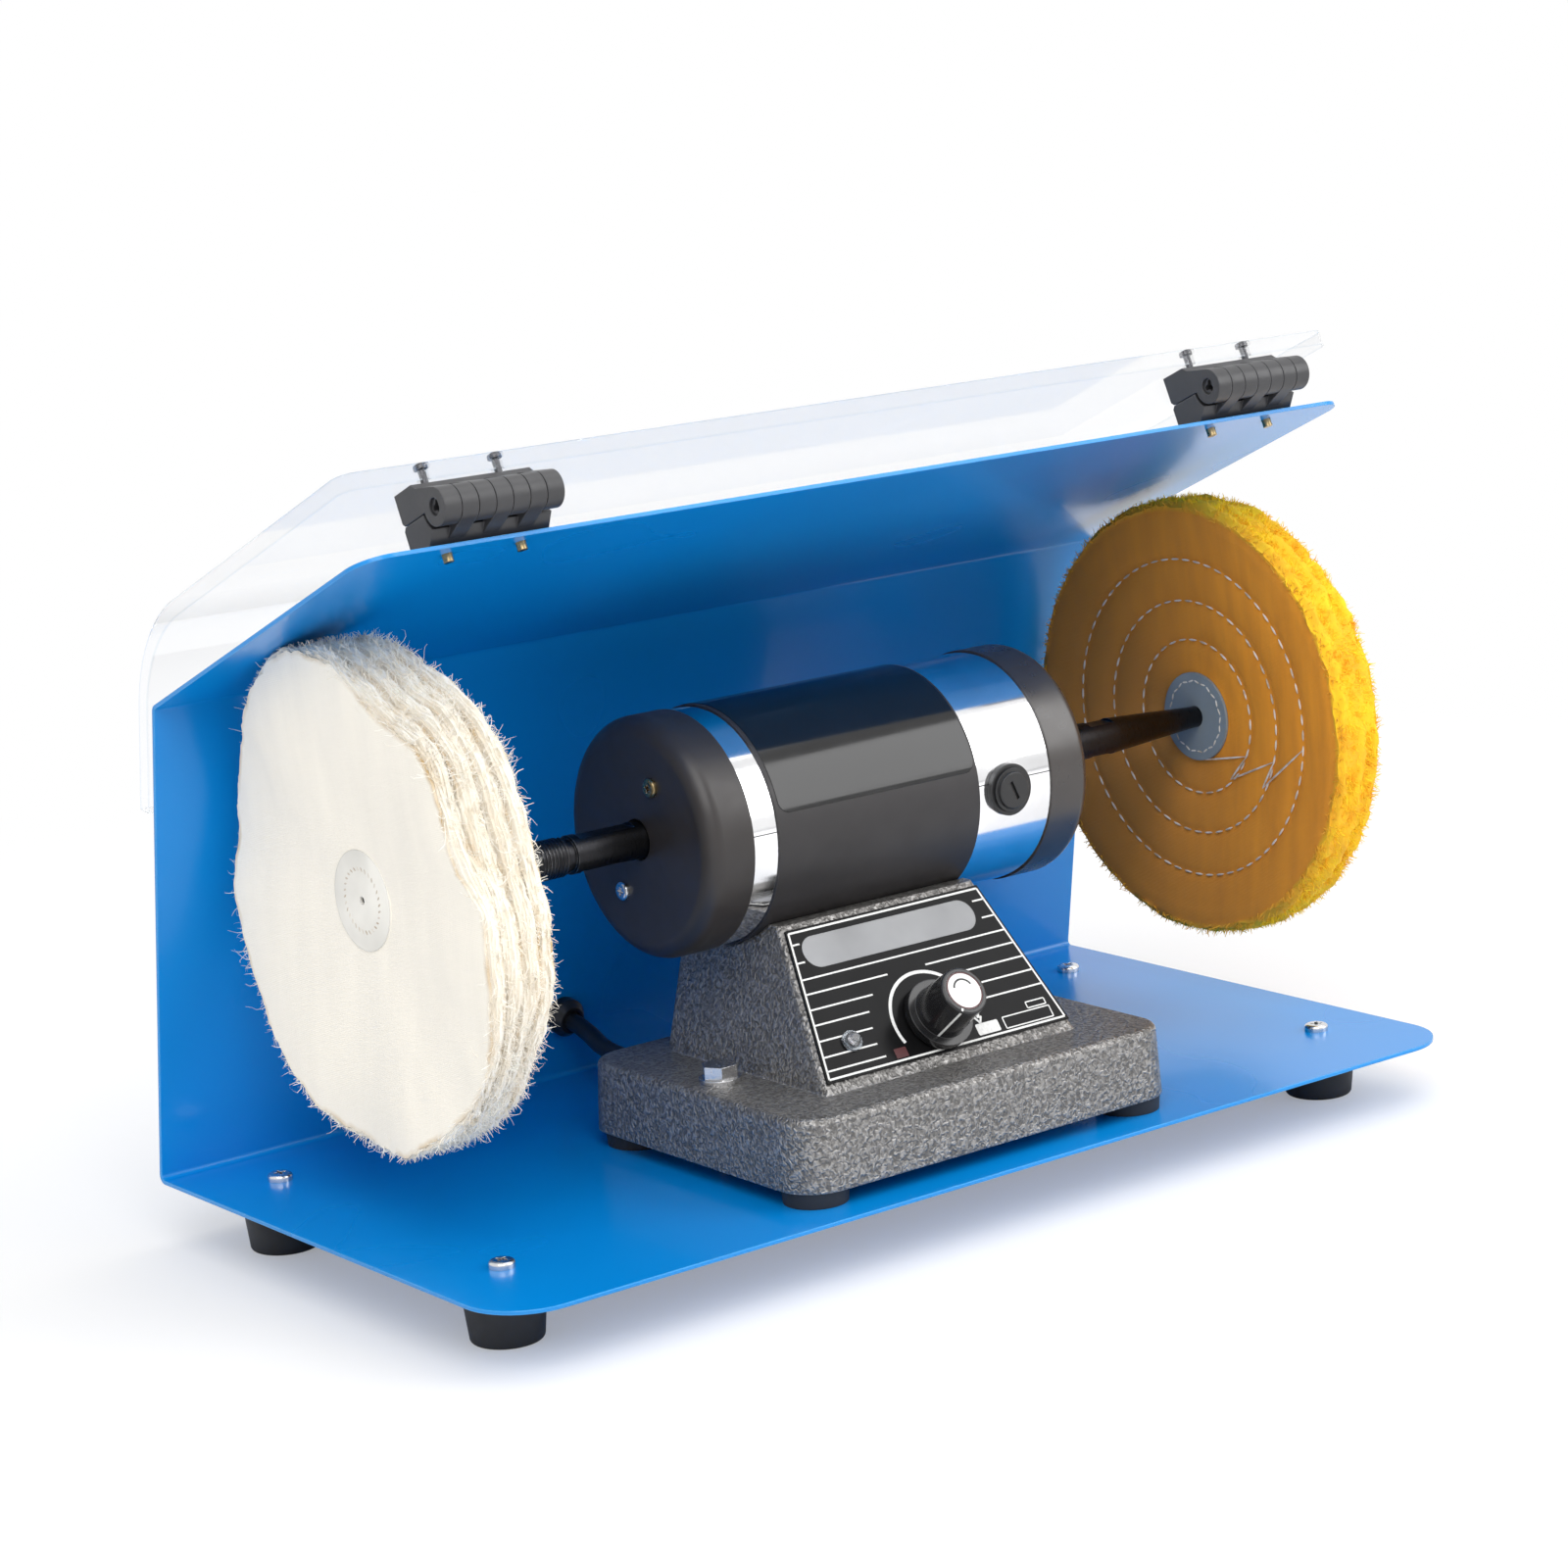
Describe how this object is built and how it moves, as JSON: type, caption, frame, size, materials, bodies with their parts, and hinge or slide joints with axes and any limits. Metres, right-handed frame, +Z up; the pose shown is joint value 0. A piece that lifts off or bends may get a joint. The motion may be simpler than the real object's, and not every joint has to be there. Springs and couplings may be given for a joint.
{
  "type": "jewelry bench polisher",
  "caption": "Double-ended bench polisher for jewelry: buffs on a speed-controlled motor inside a bent sheet housing with a hinged clear hood.",
  "frame": {"origin": "centre of the housing's base in plan, at the underside of its rubber feet", "axes": "+X along the motor shaft to the operator's right, +Y to the back, +Z up"},
  "size_m": [0.375, 0.3094, 0.2507],
  "materials": {
    "blue_coat": "gloss",
    "black_rubber": "matte",
    "steel": "satin",
    "hinge_plastic": "satin",
    "clear_acrylic": "gloss",
    "hammertone": "hammered",
    "panel_black": "satin",
    "black_plastic": "satin",
    "white_plastic": "gloss",
    "lamp_clear": "gloss",
    "board": "satin",
    "chrome": "polished",
    "motor_black": "satin",
    "lamination": "satin",
    "copper": "satin",
    "brass": "satin",
    "aluminium": "satin",
    "carbon": "matte",
    "bright_steel": "polished",
    "black_oxide": "satin",
    "white_cotton": "matte",
    "yellow_cotton": "matte",
    "white_card": "matte",
    "cord_black": "satin"
  },
  "bodies": {
    "housing": {"housing_shell": "blue_coat", "housing_feet": "black_rubber", "foot_screws": "steel", "foot_nuts": "steel", "cord_grommet": "black_rubber", "left_hinge_roof_leaf": "hinge_plastic", "right_hinge_roof_leaf": "hinge_plastic", "hinge_pins": "steel", "hinge_roof_screws": "steel", "pedestal_casting": "hammertone", "pedestal_bottom_plate": "steel", "pedestal_plate_screws": "steel", "pedestal_feet": "black_rubber", "pedestal_bolts": "steel", "pedestal_bolt_nuts": "steel", "control_panel_plate": "panel_black", "speed_control_body": "black_plastic", "speed_control_nut": "brass", "power_lamp": "lamp_clear", "control_board": "board", "motor_saddle_screws": "steel", "motor_tube": "chrome", "motor_sleeve": "motor_black", "left_end_cap": "motor_black", "right_end_cap": "motor_black", "end_cap_screws": "steel", "bearing_brackets": "aluminium", "bearing_outer_rings": "bright_steel", "field_core": "lamination", "field_coils": "copper", "brush_holders": "black_plastic", "carbon_brushes": "carbon", "brush_springs": "steel", "brush_caps": "black_plastic", "cord_gland": "black_rubber", "power_cord": "cord_black", "cord_coil": "cord_black", "cord_tie": "black_plastic", "plug_body": "black_plastic", "plug_pins": "brass"},
    "rotor": {"motor_shaft": "bright_steel", "armature_core": "lamination", "armature_windings": "copper", "commutator": "copper", "cooling_fan": "black_plastic", "bearing_inner_rings": "bright_steel", "bearing_balls": "bright_steel", "left_spindle": "black_oxide", "right_spindle": "black_oxide", "white_buff": "white_cotton", "white_buff_discs": "white_card", "yellow_buff": "yellow_cotton", "yellow_buff_discs": "white_card"},
    "hood": {"clear_hood": "clear_acrylic", "left_hinge_hood_leaf": "hinge_plastic", "right_hinge_hood_leaf": "hinge_plastic", "hood_screws": "steel"},
    "knob": {"speed_knob": "black_plastic", "knob_cap": "white_plastic", "speed_control_shaft": "aluminium"}
  },
  "joints": [
    {"name": "rotor_spin", "type": "hinge", "parent": "housing", "child": "rotor", "pos_m": [0, -0.005, 0.1215], "axis": [1, 0, 0], "continuous": true},
    {"name": "hood_swing", "type": "hinge", "parent": "housing", "child": "hood", "pos_m": [0, -0.05735, 0.23946], "axis": [1, 0, 0], "range_deg": [0, 225]},
    {"name": "speed_knob_turn", "type": "hinge", "parent": "housing", "child": "knob", "pos_m": [-0.0015, -0.05908, 0.06046], "axis": [0, 0.8039, -0.5948], "range_deg": [0, 300]}
  ]
}
